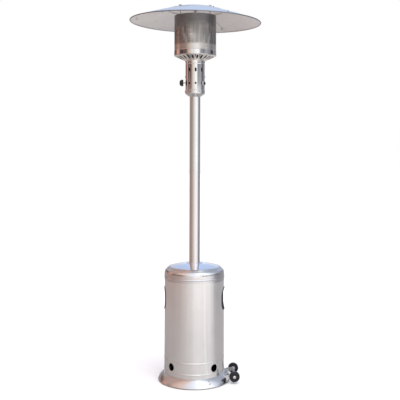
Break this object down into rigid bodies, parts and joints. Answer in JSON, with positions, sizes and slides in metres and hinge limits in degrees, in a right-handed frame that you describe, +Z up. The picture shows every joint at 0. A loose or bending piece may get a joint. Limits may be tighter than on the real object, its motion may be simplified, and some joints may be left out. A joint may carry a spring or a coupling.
{
  "type": "gas patio heater",
  "caption": "Free-standing gas patio heater with a wheeled base, a lift-up gas bottle housing, a tall post, a control head, a perforated emitter and a wide domed reflector.",
  "frame": {"origin": "on the floor, at the middle of the box round the heater, under the post", "axes": "+Z up along the post; -Y is the front; +X points to the wheels; the control knob is at -X"},
  "size_m": [0.7897, 0.7898, 2.2403],
  "materials": {
    "polished_steel": "mirror-polished stainless steel",
    "satin_steel": "satin stainless steel, brushed round its axis",
    "plain_steel": "zinc-plated steel",
    "dark_steel": "dark painted steel",
    "reflector_metal": "satin aluminium sheet",
    "emitter_steel": "heat-resisting steel mesh",
    "burner_iron": "raw cast iron",
    "brass": "turned brass",
    "copper_lead": "copper-sheathed lead",
    "ceramic": "glazed insulator",
    "black_plastic": "moulded black plastic",
    "wheel_plastic": "hard black plastic",
    "cap_metal": "bright push-on cap",
    "rubber": "black rubber"
  },
  "bodies": {
    "root": {"base_plate": "dark_steel", "base_flare": "polished_steel", "base_feet": "rubber", "base_screws": "plain_steel", "support_leg_1": "plain_steel", "support_leg_2": "plain_steel", "support_leg_3": "plain_steel", "leg_bolts": "plain_steel", "flange_bolts": "plain_steel", "post_flange": "plain_steel", "post": "polished_steel", "post_screws": "plain_steel", "gas_tube": "plain_steel", "gas_inlet": "brass", "tube_grommet": "rubber", "wheel_bracket": "polished_steel", "bracket_screws": "plain_steel", "axle": "plain_steel", "axle_caps": "cap_metal", "head_cup": "polished_steel", "head_plate": "plain_steel", "head_shell": "polished_steel", "head_screws": "plain_steel", "valve_bracket": "plain_steel", "valve_body": "brass", "igniter_body": "black_plastic", "igniter_bezel": "polished_steel", "tilt_switch": "black_plastic", "burner_jet": "brass", "mixing_tube": "plain_steel", "burner_head": "burner_iron", "pilot_tube": "plain_steel", "thermocouple": "copper_lead", "spark_electrode": "ceramic", "pilot_burner": "emitter_steel", "burner_pan": "polished_steel", "burner_band": "polished_steel", "emitter_screen": "emitter_steel", "top_plate": "emitter_steel", "reflector_studs": "plain_steel", "reflector_nuts": "plain_steel", "reflector_panel_1": "reflector_metal", "reflector_panel_2": "reflector_metal", "reflector_panel_3": "reflector_metal", "reflector_crown": "reflector_metal", "seam_bolts": "plain_steel", "crown_bolts": "plain_steel"},
    "housing": {"housing_shell": "satin_steel", "housing_lid": "polished_steel", "lid_collar": "polished_steel", "hand_hole_trims": "rubber", "lid_rivets": "plain_steel"},
    "valve_plunger": {"valve_plunger": "brass"},
    "control_knob": {"control_knob": "black_plastic", "valve_stem": "brass"},
    "igniter_button": {"igniter_button": "black_plastic"},
    "wheel_front": {"wheel_front": "wheel_plastic"},
    "wheel_back": {"wheel_back": "wheel_plastic"}
  },
  "joints": [
    {"name": "housing_lift", "type": "slide", "parent": "root", "child": "housing", "axis": [0, 0, 1], "range_m": [0, 0.98]},
    {"name": "knob_push", "type": "slide", "parent": "root", "child": "valve_plunger", "axis": [1, 0, 0], "range_m": [0, 0.004], "stiffness_N_per_m": 1500},
    {"name": "knob_turn", "type": "hinge", "parent": "valve_plunger", "child": "control_knob", "pos_m": [-0.08, 0, 1.777], "axis": [-1, 0, 0], "range_deg": [0, 200]},
    {"name": "igniter_push", "type": "slide", "parent": "root", "child": "igniter_button", "axis": [-0.8988, 0.4384, 0], "range_m": [0, 0.005], "stiffness_N_per_m": 600},
    {"name": "wheel_front_spin", "type": "hinge", "parent": "root", "child": "wheel_front", "pos_m": [0.2385, -0.088, 0.04], "axis": [0, 1, 0], "continuous": true},
    {"name": "wheel_back_spin", "type": "hinge", "parent": "root", "child": "wheel_back", "pos_m": [0.2385, 0.088, 0.04], "axis": [0, 1, 0], "continuous": true}
  ]
}
